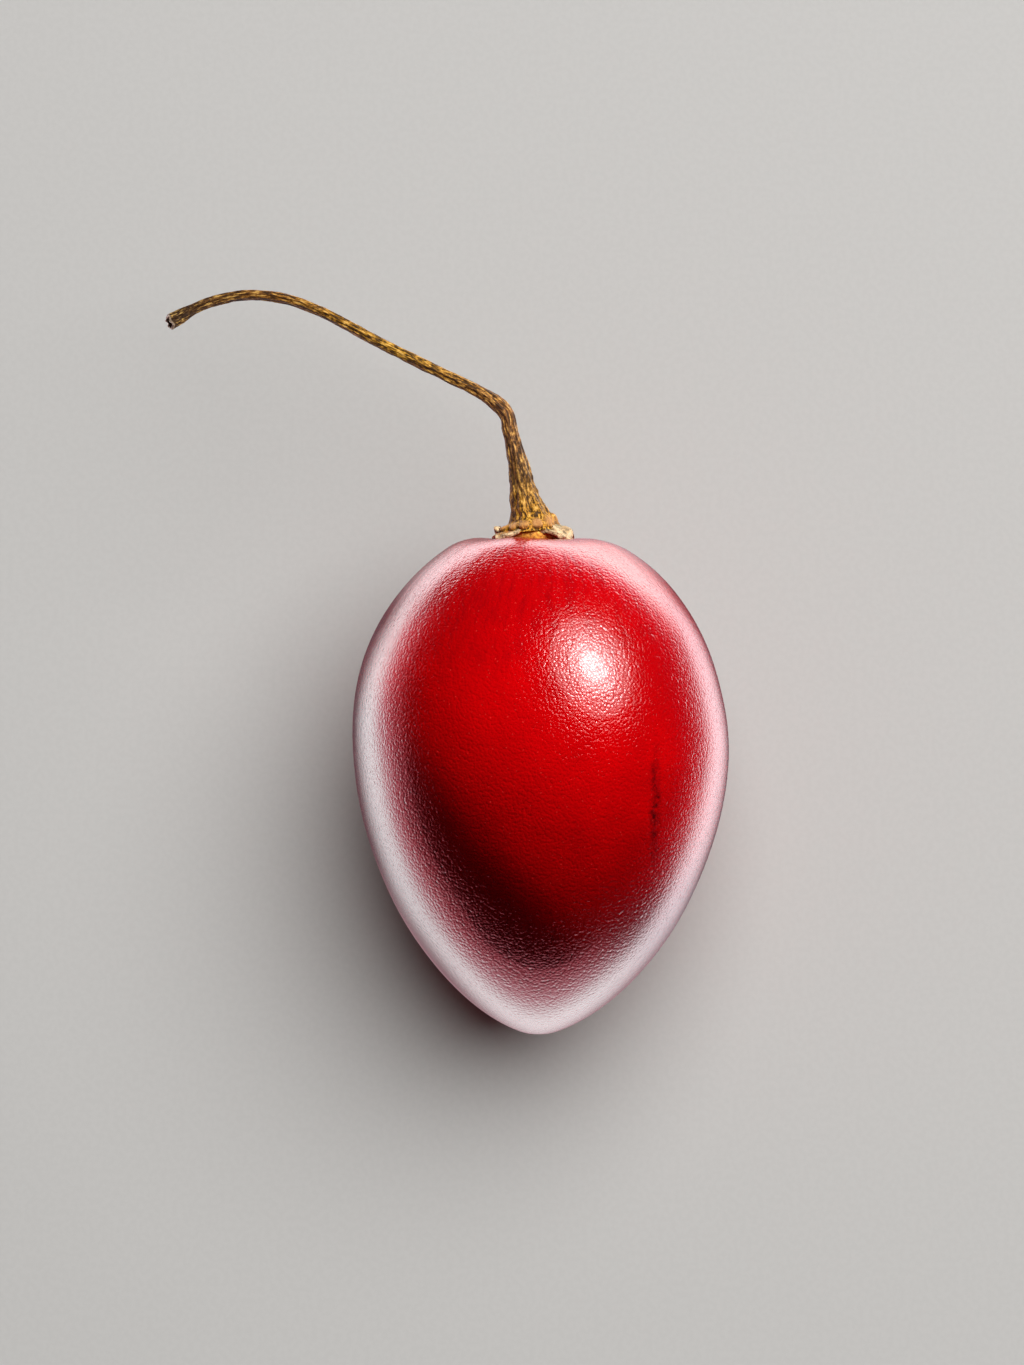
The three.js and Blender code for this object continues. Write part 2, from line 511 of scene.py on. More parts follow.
        return add_node(
            tree,
            "ShaderNodeMix",
            {FACTOR: amount.outputs[0], UNDER: colour, OVER: linear(self.scar)},
            data_type="RGBA",
        ).outputs[MIXED]

    def pores(
        self, tree: bpy.types.NodeTree, own: bpy.types.NodeSocket, colour: bpy.types.NodeSocket
    ) -> bpy.types.NodeSocket:
        """Scatters the tiny pale pores of the skin.

        Args:
            tree: The material's node tree.
            own: Coordinates in the fruit's own frame, in millimetres.
            colour: The colour under the pores.

        Returns:
            The colour with the pores.
        """
        cells = add_node(
            tree,
            "ShaderNodeTexVoronoi",
            {"Vector": own, "Scale": 1 / self.pore_spacing, "Randomness": 1.0},
        )
        dots = add_node(
            tree,
            "ShaderNodeMapRange",
            {"Value": cells.outputs["Distance"], "From Min": 0.15, "From Max": 0.06, "To Max": 0.25},
        )
        return add_node(
            tree,
            "ShaderNodeMix",
            {FACTOR: dots.outputs[0], UNDER: colour, OVER: linear(self.pore)},
            data_type="RGBA",
        ).outputs[MIXED]

    def grain(self, tree: bpy.types.NodeTree, own: bpy.types.NodeSocket) -> bpy.types.NodeSocket:
        """Raises the cells of the skin.

        Args:
            tree: The material's node tree.
            own: Coordinates in the fruit's own frame, in millimetres.

        Returns:
            The bumped normal.
        """
        cells = add_node(
            tree, "ShaderNodeTexVoronoi", {"Vector": own, "Scale": 1 / self.cell_size}
        )
        domes = add_node(
            tree,
            "ShaderNodeMath",
            {0: cells.outputs["Distance"], 1: cells.outputs["Distance"]},
            operation="MULTIPLY",
        )
        uneven = add_node(
            tree,
            "ShaderNodeTexNoise",
            {"Vector": own, "Scale": 1 / self.cell_size, "Detail": 2.0, "Roughness": 0.5},
        )
        height = add_node(
            tree,
            "ShaderNodeMath",
            {0: domes.outputs[0], 1: -1.2, 2: uneven.outputs["Fac"]},
            operation="MULTIPLY_ADD",
        )
        return add_node(
            tree,
            "ShaderNodeBump",
            {"Height": height.outputs[0], "Distance": self.grain_height * MM, "Strength": 1.0},
        ).outputs["Normal"]


@dataclass(frozen=True)
class DryBark(Finish):
    """Bark of a drying fruit stem: tan and olive fibres along the stem, with dark furrows that are partly
    their own dark colour and partly painted shade.

    The foot is still golden, the end that broke off is brown. It is matt, and its fibres are about a
    quarter of a millimetre wide.
    """

    length: float  # mm, of the stem
    name: str = "dry_stem_bark"
    foot: str = "#be841e"
    low: str = "#7e5620"
    knee: str = "#8c5a2c"
    arm: str = "#aa7a1c"
    hump: str = "#8c5816"
    end: str = "#583c1c"
    # the furrows' own dark colour together with painted shade in them
    dark_furrow_and_shade: str = "#2a1808"
    ridge: str = "#dcb05e"
    bead: str = "#b07c48"
    torn: str = "#a8927a"
    fibre_width: float = 0.27  # mm
    fibre_length: float = 1.3  # mm
    flake_size: float = 0.5  # mm
    relief_height: float = 0.12  # mm
    torn_from: float = 0.35  # mm before the end, where the bark gives way to torn wood
    torn_full: float = 0.1  # mm before the end

    def dress(self, tree: bpy.types.NodeTree, shader: bpy.types.Node) -> None:
        """Sets the shader up and adds the patterns that feed it."""
        fibre = add_node(tree, "ShaderNodeAttribute", attribute_name="fibre").outputs["Vector"]
        split = add_node(tree, "ShaderNodeSeparateXYZ", {"Vector": fibre})
        along = add_node(
            tree,
            "ShaderNodeMapRange",
            {"Value": split.outputs["Y"], "From Min": 0.0, "From Max": self.length},
        )
        tone = add_node(
            tree,
            "ShaderNodeValToRGB",
            {"Fac": along.outputs[0]},
            stops=[
                (0.02, self.foot),
                (0.97, self.end),
                (0.11, self.low),
                (0.24, self.knee),
                (0.5, self.arm),
                (0.78, self.hump),
            ],
        )
        stretched = add_node(
            tree,
            "ShaderNodeVectorMath",
            {0: fibre, 1: (1 / self.fibre_width, 1 / self.fibre_length, 1 / self.fibre_width)},
            operation="MULTIPLY",
        )
        strands = add_node(
            tree,
            "ShaderNodeTexNoise",
            {"Vector": stretched.outputs[0], "Scale": 1.0, "Detail": 2.5, "Roughness": 0.6},
        )
        flakes = add_node(
            tree,
            "ShaderNodeTexNoise",
            {"Vector": fibre, "Scale": 1 / self.flake_size, "Detail": 4.0, "Roughness": 0.7},
        )
        relief = add_node(
            tree,
            "ShaderNodeMath",
            {0: flakes.outputs["Fac"], 1: 0.45, 2: strands.outputs["Fac"]},
            operation="MULTIPLY_ADD",
        )
        # Darker where the relief is low, in the hollows of the bump: partly the furrows' own colour,
        # partly painted shade.
        dark = add_node(
            tree,
            "ShaderNodeMapRange",
            {"Value": relief.outputs[0], "From Min": 0.79, "From Max": 0.65, "To Max": 0.95},
        )
        pale = add_node(
            tree,
            "ShaderNodeMapRange",
            {"Value": relief.outputs[0], "From Min": 0.78, "From Max": 0.92, "To Max": 0.8},
        )
        furrowed = add_node(
            tree,
            "ShaderNodeMix",
            {FACTOR: dark.outputs[0], UNDER: tone.outputs["Color"], OVER: linear(self.dark_furrow_and_shade)},
            data_type="RGBA",
        )
        ridged = add_node(
            tree,
            "ShaderNodeMix",
            {FACTOR: pale.outputs[0], UNDER: furrowed.outputs[MIXED], OVER: linear(self.ridge)},
            data_type="RGBA",
        )
        raised = add_node(
            tree,
            "ShaderNodeBump",
            {"Height": relief.outputs[0], "Distance": self.relief_height * MM, "Strength": 1.0},
        )
        smooth = add_node(tree, "ShaderNodeAttribute", attribute_name="bead")
        beaded = add_node(
            tree,
            "ShaderNodeMix",
            {FACTOR: smooth.outputs["Fac"], UNDER: ridged.outputs[MIXED], OVER: linear(self.bead)},
            data_type="RGBA",
        )
        fresh = add_node(
            tree,
            "ShaderNodeMapRange",
            {
                "Value": split.outputs["Y"],
                "From Min": self.length - self.torn_from,
                "From Max": self.length - self.torn_full,
            },
        )
        broken = add_node(
            tree,
            "ShaderNodeMix",
            {FACTOR: fresh.outputs[0], UNDER: beaded.outputs[MIXED], OVER: linear(self.torn)},
            data_type="RGBA",
        )
        tree.links.new(broken.outputs[MIXED], shader.inputs["Base Color"])
        tree.links.new(raised.outputs["Normal"], shader.inputs["Normal"])
        shader.inputs["Roughness"].default_value = 0.62
        shader.inputs["IOR"].default_value = 1.45
        shader.inputs["Specular IOR Level"].default_value = 0.25
        shader.inputs["Sheen Weight"].default_value = 0.08
        shader.inputs["Sheen Roughness"].default_value = 0.4
        shader.inputs["Sheen Tint"].default_value = linear("#f4dcd4")


@dataclass(frozen=True)
class DryLeaf(Finish):
    """Dried calyx: thin leaf tissue, tan and olive in the middle, bleached to cream along its edge."""

    name: str = "dried_calyx_leaf"
    middle: str = "#7c6c38"
    warm: str = "#b0702a"
    edge: str = "#ccb086"
    spot: str = "#4a3214"
    patch_size: float = 1.6  # mm
    spot_spacing: float = 0.5  # mm

    def dress(self, tree: bpy.types.NodeTree, shader: bpy.types.Node) -> None:
        """Sets the shader up and adds the patterns that feed it."""
        coords = add_node(tree, "ShaderNodeTexCoord")
        own = add_node(
            tree,
            "ShaderNodeMapping",
            {"Vector": coords.outputs["Object"], "Scale": (MM, MM, MM)},
            vector_type="TEXTURE",
        ).outputs["Vector"]
        margin = add_node(tree, "ShaderNodeAttribute", attribute_name="margin")
        patches = add_node(
            tree,
            "ShaderNodeTexNoise",
            {"Vector": own, "Scale": 1 / self.patch_size, "Detail": 4.0, "Roughness": 0.6},
        )
        body = add_node(
            tree,
            "ShaderNodeValToRGB",
            {"Fac": patches.outputs["Fac"]},
            stops=[(0.42, self.middle), (0.62, self.warm)],
        )
        uneven = add_node(
            tree,
            "ShaderNodeMath",
            {0: patches.outputs["Fac"], 1: 0.8, 2: margin.outputs["Fac"]},
            operation="MULTIPLY_ADD",
        )
        bleached = add_node(
            tree,
            "ShaderNodeMapRange",
            {"Value": uneven.outputs[0], "From Min": 0.7, "From Max": 1.25, "To Max": 0.95},
        )
        pale = add_node(
            tree,
            "ShaderNodeMix",
            {FACTOR: bleached.outputs[0], UNDER: body.outputs["Color"], OVER: linear(self.edge)},
            data_type="RGBA",
        )
        flecks = add_node(
            tree,
            "ShaderNodeTexNoise",
            {"Vector": own, "Scale": 1 / self.spot_spacing, "Detail": 4.0, "Roughness": 0.7},
        )
        spotted = add_node(
            tree,
            "ShaderNodeMapRange",
            {"Value": flecks.outputs["Fac"], "From Min": 0.48, "From Max": 0.62, "To Max": 0.8},
        )
        colour = add_node(
            tree,
            "ShaderNodeMix",
            {FACTOR: spotted.outputs[0], UNDER: pale.outputs[MIXED], OVER: linear(self.spot)},
            data_type="RGBA",
        )
        raised = add_node(
            tree,
            "ShaderNodeBump",
            {"Height": flecks.outputs["Fac"], "Distance": 0.1 * MM, "Strength": 1.0},
        )
        tree.links.new(colour.outputs[MIXED], shader.inputs["Base Color"])
        tree.links.new(raised.outputs["Normal"], shader.inputs["Normal"])
        shader.inputs["Roughness"].default_value = 0.6
        shader.inputs["IOR"].default_value = 1.45


@dataclass(frozen=True)
class Cork(Finish):
    """Cork that heals the place where the fruit will come away: orange-yellow, dry and crumbly."""

    name: str = "orange_cork"
    light: str = "#e0a63c"
    deep: str = "#bc7822"
    crumb: str = "#8a5518"
    crumb_size: float = 0.45  # mm

    def dress(self, tree: bpy.types.NodeTree, shader: bpy.types.Node) -> None:
        """Sets the shader up and adds the patterns that feed it."""
        coords = add_node(tree, "ShaderNodeTexCoord")
        own = add_node(
            tree,
            "ShaderNodeMapping",
            {"Vector": coords.outputs["Object"], "Scale": (MM, MM, MM)},
            vector_type="TEXTURE",
        ).outputs["Vector"]
        crumbs = add_node(
            tree,
            "ShaderNodeTexNoise",
            {"Vector": own, "Scale": 1 / self.crumb_size, "Detail": 4.0, "Roughness": 0.65},
        )
        colour = add_node(
            tree,
            "ShaderNodeValToRGB",
            {"Fac": crumbs.outputs["Fac"]},
            stops=[(0.36, self.crumb), (0.64, self.light), (0.48, self.deep)],
        )
        raised = add_node(
            tree,
            "ShaderNodeBump",
            {"Height": crumbs.outputs["Fac"], "Distance": 0.12 * MM, "Strength": 1.0},
        )
        tree.links.new(colour.outputs["Color"], shader.inputs["Base Color"])
        tree.links.new(raised.outputs["Normal"], shader.inputs["Normal"])
        shader.inputs["Roughness"].default_value = 0.75


@dataclass(frozen=True)
class MattPaint(Finish):
    """Matt painted board: a pale even floor with a barely visible roller texture."""

    name: str = "matt_pale_board"
    tone: str = "#c8c6c3"
    shade: str = "#c6c4c1"
    roller_size: float = 0.8  # mm

    def dress(self, tree: bpy.types.NodeTree, shader: bpy.types.Node) -> None:
        """Sets the shader up and adds the patterns that feed it."""
        coords = add_node(tree, "ShaderNodeTexCoord")
        stipple = add_node(
            tree,
            "ShaderNodeTexNoise",
            {"Vector": coords.outputs["Object"], "Scale": 1 / (self.roller_size * MM)},
        )
        colour = add_node(
            tree,
            "ShaderNodeValToRGB",
            {"Fac": stipple.outputs["Fac"]},
            stops=[(0.4, self.shade), (0.6, self.tone)],
        )
        tree.links.new(colour.outputs["Color"], shader.inputs["Base Color"])
        shader.inputs["Roughness"].default_value = 0.9
        shader.inputs["Specular IOR Level"].default_value = 0.0


# ---------------------------------------------------------------------------------------------------
# Fruit
# ---------------------------------------------------------------------------------------------------


@dataclass(frozen=True)
class Fruit:
    """The egg-shaped fruit: a turned outline with soft ribs, lumps and a flat resting spot."""

    radius: float = 25.1  # mm, at the widest section
    tip_length: float = 39.4  # from the widest section to the point
    tip_power: float = 1.9  # how late the sides start to close towards the tip
    tip_fullness: float = 0.635  # 0.5 is a round end, more is a pointed one
    shoulder_reach: float = 28.9  # where the shoulders' ellipse would close
    crown_height: float = 26.9
    crown_rounding: float = 1.6
    dimple_depth: float = 1.1
    dimple_radius: float = 5.5
    crown_lean: float = -0.6
    tip_lean: float = -0.4
    side_lean: float = -0.35  # between the widest section and the crown
    side_lean_place: tuple[float, float] = (12.0, 9.0)  # its middle and its reach along the axis
    right_slimming: float = 0.25  # how much slimmer the right side is
    right_slimming_place: tuple[float, float] = (6.0, 6.0)  # its middle and its reach
    left_shoulder: float = 0.2  # how much higher the left shoulder stands
    left_shoulder_x: tuple[float, float] = (-9.0, 5.0)  # its middle and its reach across
    left_shoulder_depth: float = 12.0  # its reach towards the upper side
    left_shoulder_from: tuple[float, float] = (5.0, 20.0)  # along the axis, where it starts and is full
    tilt: float = math.radians(9)  # the tip lies this much lower than the stem end
    rib_height: float = 0.12
    rib_radius: float = 8.5
    ribs: int = 5
    lump_height: float = 0.1
    lump_size: float = 11.0
    wrinkle_height: float = 0.035
    wrinkle_fineness: float = 13.0  # how many there are round the axis
    wrinkle_length: float = 7.0
    wrinkle_from: tuple[float, float] = (8.0, 24.0)  # along the axis, where they start and are full
    scar_radius: float = 1.1  # of the dry point at the tip
    scar_height: float = 0.2
    rest_rounding: float = 0.12  # mm, of the resting spot's edge
    cuts: int = 103  # subdivisions of each side of the starting cube

    def outline(self, angle: float) -> tuple[float, float]:
        """Finds a point of the outline.

        Args:
            angle: From -90 degrees at the tip over 0 at the widest section to 90 at the crown.

        Returns:
            The distance from the axis and the height along it, in millimetres.
        """
        if angle < 0:
            depth = math.sin(-angle)
            closing = max(0.0, 1 - depth**self.tip_power)
            return self.radius * closing**self.tip_fullness, -self.tip_length * depth
        distance = max(0.0, self.radius * math.cos(angle))
        shoulder = self.shoulder_reach * math.sin(angle)
        crown = self.crown_height - self.dimple_depth * bell(distance, 0, self.dimple_radius)
        return distance, soft_min(shoulder, crown, self.crown_rounding)

    def support(self, across: float, along: float) -> float:
        """Finds how far the outline reaches in a direction.

        Args:
            across: The direction's share square to the axis.
            along: The direction's share along the axis.

        Returns:
            The reach in millimetres.
        """
        steps = 2000
        points = [self.outline(math.pi * (i / steps - 0.5)) for i in range(steps + 1)]
        return max(distance * across + height * along for distance, height in points)

    def resting(self) -> Matrix:
        """Finds where the fruit's own frame lies, from the CAD fruit's box.

        Returns:
            The matrix from the fruit's own frame, in millimetres, to the scene.
        """
        low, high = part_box("fruit")
        spot = frame["record"]["mounts"][0]["pos_m"]
        sine, cosine = math.sin(self.tilt), math.cos(self.tilt)
        origin = Vector(
            (
                spot[0],
                low.y + self.support(sine, -cosine) * MM,
                high.z - self.support(cosine, sine) * MM,
            )
        )
        turn = Matrix.Rotation(self.tilt, 4, "X")
        return Matrix.Translation(origin) @ turn @ Matrix.Scale(MM, 4)

    def skin_point(self, direction: Vector) -> Vector:
        """Finds the skin's point for a direction from the middle of the starting cube.

        Args:
            direction: The direction, of any length.

        Returns:
            The point in the fruit's own frame, in millimetres.
        """
        aim = direction.normalized()
        turn = math.atan2(aim.z, aim.x)
        distance, height = self.outline(math.asin(aim.y))
        point = Vector((distance * math.cos(turn), height, distance * math.sin(turn)))
        outward = Vector((point.x, 0.8 * point.y, point.z)).normalized()

        ring = (distance / self.rib_radius) ** 2
        if height > 0:
            point.y -= self.rib_height * ring * math.exp(1 - ring) * math.cos(self.ribs * turn)
        towards_crown = max(0.0, height / self.crown_height)
        towards_tip = max(0.0, -height / self.tip_length)
        point.x += self.crown_lean * towards_crown**2 + self.tip_lean * towards_tip**6

        lump = noise.noise(point / self.lump_size) * self.lump_height
        fan = Vector((math.cos(turn), math.sin(turn), 0)) * self.wrinkle_fineness
        fan.z = height / self.wrinkle_length
        wrinkle = noise.noise(fan) * self.wrinkle_height * smooth_step(height, *self.wrinkle_from)
        point += outward * (lump + wrinkle)
        point.x += self.side_lean * bell(height, *self.side_lean_place)
        if point.x > 0:
            slimming = self.right_slimming * bell(height, *self.right_slimming_place)
            point.x -= slimming * point.x / self.radius
        shoulder = bell(point.x, *self.left_shoulder_x) * bell(point.z, 0, self.left_shoulder_depth)
        point.y += self.left_shoulder * shoulder * smooth_step(height, *self.left_shoulder_from)
        tip_distance = math.hypot(distance, height + self.tip_length)
        point.y += self.scar_height * bell(tip_distance, 0, self.scar_radius)
        return point

    def build(self, resting: Matrix) -> bpy.types.Object:
        """Models the fruit from a cube that is subdivided and drawn out to the skin.

        Args:
            resting: The fruit's own frame.

        Returns:
            The fruit's mesh object.
        """
        deselect_all()
        bpy.ops.mesh.primitive_cube_add(size=2)
        piece = name_new("tamarillo_fruit")
        bpy.ops.object.mode_set(mode="EDIT")
        bpy.ops.mesh.select_all(action="SELECT")
        bpy.ops.mesh.subdivide(number_cuts=self.cuts)
        bpy.ops.object.mode_set(mode="OBJECT")

        def laid_down(point: Vector) -> Vector:
            """Places a point of the cube on the skin of the resting fruit."""
            placed = resting @ self.skin_point(point)
            placed.z = (placed.z + math.hypot(placed.z, self.rest_rounding * MM)) / 2
            return placed

        move_vertices(piece, laid_down)
        return piece


# ---------------------------------------------------------------------------------------------------
# Corky pad, stem and calyx
# ---------------------------------------------------------------------------------------------------


@dataclass(frozen=True)
class CorkyPad:
    """The disc of cork between the crown and the calyx."""

    centre: tuple[float, float, float] = (-1.3, 26.4, 0.0)  # mm, of its underside
    radius: float = 3.7
    height: float = 1.5
    rim: float = 0.6  # mm, of the rounded rim
    crumble: float = 0.1
    sides: int = 40

    def build(self, resting: Matrix) -> bpy.types.Object:
        """Models the pad from a disc that is extruded, bevelled and roughened.

        Args:
            resting: The fruit's own frame.

        Returns:
            The pad's mesh object.
        """
        deselect_all()
        bpy.ops.mesh.primitive_circle_add(vertices=self.sides, radius=self.radius, fill_type="NGON")
        piece = name_new("corky_pad_rim")
        bpy.ops.object.mode_set(mode="EDIT")
        bpy.ops.mesh.select_all(action="SELECT")
        bpy.ops.mesh.extrude_region_move(TRANSFORM_OT_translate={"value": (0, 0, self.height)})
        select_faces(lambda face: abs(face.normal.z) > 0.5)
        bpy.ops.mesh.inset(thickness=self.rim)
        bpy.ops.mesh.inset(thickness=self.radius / 3)
        bpy.ops.mesh.poke()
        bpy.ops.mesh.select_all(action="SELECT")
        bpy.ops.mesh.normals_make_consistent(inside=False)
        bpy.ops.object.mode_set(mode="OBJECT")
        apply_modifier(piece, "SUBSURF", levels=2, render_levels=2)

        def crumbled(point: Vector) -> Vector:
            """Turns a point of the upright disc to the fruit's axis and roughens it."""
            own = Vector((point.x, point.z, -point.y)) + Vector(self.centre)
            rough = noise.noise(own * 1.4) + 0.5 * noise.noise(own * 3.5)
            outward = Vector((point.x, 0.6 * (point.z - self.height / 2), -point.y)).normalized()
            return resting @ (own + outward * rough * self.crumble)

        move_vertices(piece, crumbled)
        return piece


@dataclass(frozen=True)
class Route:
    """A smooth centreline through given points, in millimetres."""

    points: tuple[tuple[float, float, float], ...]
    span_steps: int = 40  # samples between two points

    def samples(self) -> list[Vector]:
        """Samples a centripetal Catmull-Rom curve through the points.

        Returns:
            Points of the curve.
        """
        knots = [Vector(point) for point in self.points]
        knots = [2 * knots[0] - knots[1], *knots, 2 * knots[-1] - knots[-2]]
        gaps = [math.sqrt((b - a).length) for a, b in zip(knots, knots[1:])]
        curve = []
        for i in range(1, len(knots) - 2):
            before, start, end, after = knots[i - 1 : i + 3]
            first, middle, last = gaps[i - 1 : i + 2]
            chord = (end - start) / middle
            leave = (start - before) / first - (end - before) / (first + middle) + chord
            arrive = chord - (after - start) / (middle + last) + (after - end) / last
            handles = start + leave * middle / 3, end - arrive * middle / 3
            curve += geometry.interpolate_bezier(start, *handles, end, self.span_steps + 1)[:-1]
        return [*curve, knots[-2]]

    def frames(self, shares: list[float]) -> tuple[list[Matrix], float]:
        """Places frames along the curve, carried along it without twisting.

        Args:
            shares: Where the frames are, from 0 at the start to 1 at the end.

        Returns:
            The frames, whose Y axis is the curve's direction, and the curve's length.
        """
        curve = self.samples()
        reached = [0.0]
        for a, b in zip(curve, curve[1:]):
            reached.append(reached[-1] + (b - a).length)
        length = reached[-1]
        frames = []
        up = Vector((0, 0, 1))
        span = 0
        for share in shares:
            while span < len(curve) - 2 and reached[span + 1] < share * length:
                span += 1
            part = (share * length - reached[span]) / (reached[span + 1] - reached[span])
            ahead = (curve[span + 1] - curve[span]).normalized()
            if 0 < span < len(curve) - 2:
                before = (curve[span] - curve[span - 1]).normalized()
                after = (curve[span + 2] - curve[span + 1]).normalized()
                ahead = (before.lerp(ahead, 0.5 + part / 2) + ahead.lerp(after, part / 2)).normalized()
            up = (up - ahead * up.dot(ahead)).normalized()
            side = ahead.cross(up)
            turned = Matrix((side, ahead, up)).transposed().to_4x4()
            turned.translation = curve[span].lerp(curve[span + 1], part)
            frames.append(turned)
        return frames, length


@dataclass(frozen=True)
class Stem:
    """The woody stem: a flared foot, a knee, a long thin arm and the torn end."""

    thin_radius: float = 0.68  # mm
    flare_radius: float = 2.35
    flare_length: float = 7.0
    foot_radius: float = 0.8
    foot_length: float = 1.5
    knee_radius: float = 0.14
    knee_distance: float = 17.6
    knee_length: float = 2.2
    end_radius: float = 0.3
    end_length: float = 2.6
    ribs: int = 7
    rib_share: float = 0.07  # of the radius, as the next three are
    fine_rib_share: float = 0.025
    gnarl_share: float = 0.12
    wart_share: float = 0.07
    fine_ribs: int = 16
    knuckles: int = 13  # rounded swellings round the foot
    knuckle_height: float = 0.75
    knuckle_row: float = 1.05  # mm, from the foot to their middle
    knuckle_reach: float = 0.8  # mm, from their middle to their edge, along the stem
    end_slant: float = 0.3  # how far the torn end leans towards the upper side
    tear_reach: float = 0.5  # mm, from the end
    tear_depth: float = 0.3  # mm
    hollow_rim: float = 0.3  # of the torn end, as a share of its radius
    hollow_step: float = 1.5  # rings, how far each of the hollow's steps sinks
    hollow_steps: int = 3
    crowding: float = 0.75  # how much closer the rings are near both ends
    sides: int = 96
    rings: int = 220
    route: Route = Route(
        (
            (-1.35, 27.75, 0),
            (-1.5, 29.2, 0),
            (-2.0, 31.0, 0.1),
            (-2.7, 34.6, 0.2),
            (-3.5, 38.5, 0.3),
            (-4.25, 41.6, 0.3),
            (-4.65, 43.4, 0.25),
            (-6.5, 45.3, 0.1),
            (-8.6, 46.6, 0),
            (-13.2, 48.9, -0.5),
            (-21.2, 52.9, -1.6),
            (-29.2, 57.2, -2.8),
            (-34.5, 59.15, -3.3),
            (-39.9, 59.6, -3.5),
            (-45.2, 58.35, -3.4),
            (-49.8, 55.9, -3.0),
        )
    )

    def share(self, ring: float) -> float:
        """Returns how far along the stem a ring is: the rings are closer near both ends."""
        even = ring / self.rings
        return even - self.crowding * math.sin(2 * math.pi * even) / (2 * math.pi)

    def radius(self, distance: float, length: float) -> float:
        """Finds the stem's radius.

        Args:
            distance: From the foot, in millimetres.
            length: Of the whole stem.

        Returns:
            The radius in millimetres.
        """
        return (
            self.thin_radius
            + self.flare_radius * math.exp(-distance / self.flare_length)
            + self.foot_radius * math.exp(-distance / self.foot_length)
            + self.knee_radius * bell(distance, self.knee_distance, self.knee_length)
            + self.end_radius * bell(distance, length, self.end_length)
        )

    def relief(self, turn: float, distance: float) -> float:
        """Finds how the bark rises and falls round the stem.

        Args:
            turn: The angle round the stem, 90 degrees being the upper side.
            distance: From the foot, in millimetres.

        Returns:
            The radius's change as a share of it.
        """
        ribs = math.cos(self.ribs * turn + 0.05 * distance) * self.rib_share
        fine = math.cos(self.fine_ribs * turn - 0.09 * distance) * self.fine_rib_share
        spot = Vector((math.cos(turn), math.sin(turn), 0)) * 1.3
        gnarled = noise.noise(spot + Vector((0, 0, distance * 0.5))) * self.gnarl_share
        warts = noise.noise(spot * 3 + Vector((5, 0, distance * 1.6))) * self.wart_share
        return ribs + fine + gnarled + warts

    def build(self, resting: Matrix) -> bpy.types.Object:
        """Models the stem from a disc that is extruded ring by ring and bent along the route.

        Args:
            resting: The fruit's own frame.

        Returns:
            The stem's mesh object, with the attribute that its bark follows.
        """
        deselect_all()
        bpy.ops.mesh.primitive_circle_add(vertices=self.sides, radius=1, fill_type="NGON")
        piece = name_new("bent_stem")
        bpy.ops.object.mode_set(mode="EDIT")
        bpy.ops.mesh.select_all(action="SELECT")
        for _ in range(self.rings):
            bpy.ops.mesh.extrude_region_move(TRANSFORM_OT_translate={"value": (0, 0, 1)})
        self.hollow_end()
        bpy.ops.mesh.select_all(action="SELECT")
        bpy.ops.mesh.normals_make_consistent(inside=False)
        bpy.ops.object.mode_set(mode="OBJECT")

        shares = [self.share(ring) for ring in range(self.rings + 1)]
        frames, length = self.route.frames(shares)
        for name, kind in (("fibre", "FLOAT_VECTOR"), ("bead", "FLOAT")):
            piece.data.attributes.new(name, kind, "POINT")
        fibres, beads = (piece.data.attributes[name] for name in ("fibre", "bead"))
        for number, vertex in enumerate(piece.data.vertices):
            ring = min(self.rings, max(0, round(vertex.co.z)))
            distance = shares[ring] * length
            turn = math.atan2(vertex.co.y, vertex.co.x)
            reach = math.hypot(vertex.co.x, vertex.co.y)
            knuckle = self.knuckle(turn, distance)
            radius = self.radius(distance, length) * (1 + self.relief(turn, distance)) + knuckle
            beads.data[number].value = smooth_step(knuckle, 0.1, self.knuckle_height)
            torn = bell(distance, length, self.tear_reach)
            tear = self.tear_depth * noise.noise(Vector((math.cos(turn), math.sin(turn), 0)) * 1.6)
            shift = torn * (tear - self.end_slant * reach * math.sin(turn))
            across = Vector((math.cos(turn), 0, math.sin(turn))) * radius * reach
            fibres.data[number].vector = across + Vector((0, distance, 0))
            vertex.co = resting @ (frames[ring] @ (across + Vector((0, shift, 0))))
        piece.data.update()
        return piece

    def knuckle(self, turn: float, distance: float) -> float:
        """Finds the height of the rounded swellings round the foot.

        Args:
            turn: The angle round the stem, 90 degrees being the upper side.
            distance: From the foot, in millimetres.

        Returns:
            The height in millimetres.
        """
        place = (turn - math.pi / 2) * self.knuckles / (2 * math.pi)
        across = 2 * (place - math.floor(place)) - 1
        along = (distance - self.knuckle_row) / self.knuckle_reach
        size = 0.85 + 0.3 * noise.noise(Vector((math.floor(place), 3.3, 0.7)))
        return self.knuckle_height * size * math.sqrt(max(0.0, 1 - across**2 - along**2))

    def hollow_end(self) -> None:
        """Sinks the middle of the torn end."""
        bpy.ops.mesh.inset(thickness=self.hollow_rim)
        down = {"value": (0, 0, -self.hollow_step)}
        for _ in range(self.hollow_steps):
            bpy.ops.mesh.extrude_region_move(TRANSFORM_OT_translate=down)
        bpy.ops.mesh.poke()


@dataclass(frozen=True)
class LobeShape:
    """How one calyx lobe differs from the others."""

    turn: float  # degrees round the stem, 90 being the upper side
    reach: float  # mm, along the lobe from its root
    half_width: float  # mm, at the root
    root_height: float  # mm, above the crown
    slope: float  # how steeply it leaves the root
    roll: float  # mm, radius of its rolled end
    roll_turn: float  # degrees, how far the end rolls up, or down if negative
    lean: float  # mm, how much higher one side is than the middle
    cup: float  # mm, how far its sides hang below its middle
    wave: float  # mm, height of the waves along its edge
    bleach: float = 0.0  # how much paler its middle is than the other lobes'


